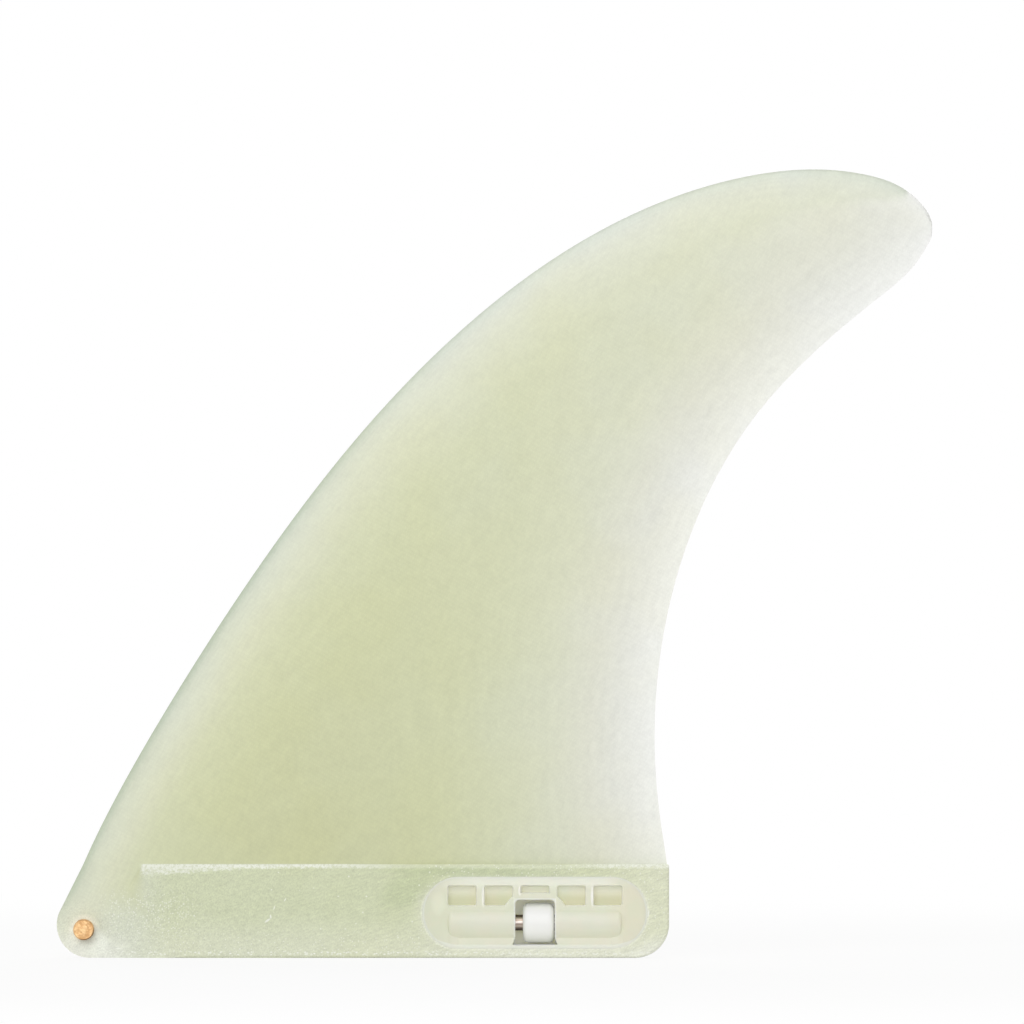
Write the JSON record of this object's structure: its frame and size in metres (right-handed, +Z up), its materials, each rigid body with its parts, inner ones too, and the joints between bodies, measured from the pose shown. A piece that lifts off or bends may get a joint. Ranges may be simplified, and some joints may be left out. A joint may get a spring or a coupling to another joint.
{
  "type": "surfboard fin",
  "caption": "Swept glass-laminate surfboard fin with a clip-in tab, a brass cross pin and a moulded cartridge holding a sliding lock.",
  "frame": {"origin": "middle of the tab's flat foot", "axes": "+X from the nose of the tab to its tail, +Y across the fin to the side without a window, +Z up to the tip"},
  "size_m": [0.2242, 0.0126, 0.2019],
  "materials": {
    "glass_laminate": "gloss",
    "pin_brass": "polished",
    "milky_plastic": "satin",
    "shaft_steel": "polished",
    "white_plastic": "satin"
  },
  "bodies": {
    "fin": {"fin_laminate": "glass_laminate", "front_pin": "pin_brass", "cartridge_window_half": "milky_plastic", "cartridge_plain_half": "milky_plastic", "lock_shaft": "shaft_steel"},
    "slider": {"lock_slider": "white_plastic"}
  },
  "joints": [
    {"name": "lock_slide", "type": "slide", "parent": "fin", "child": "slider", "axis": [-1, 0, 0], "range_m": [0, 0.0018]}
  ]
}
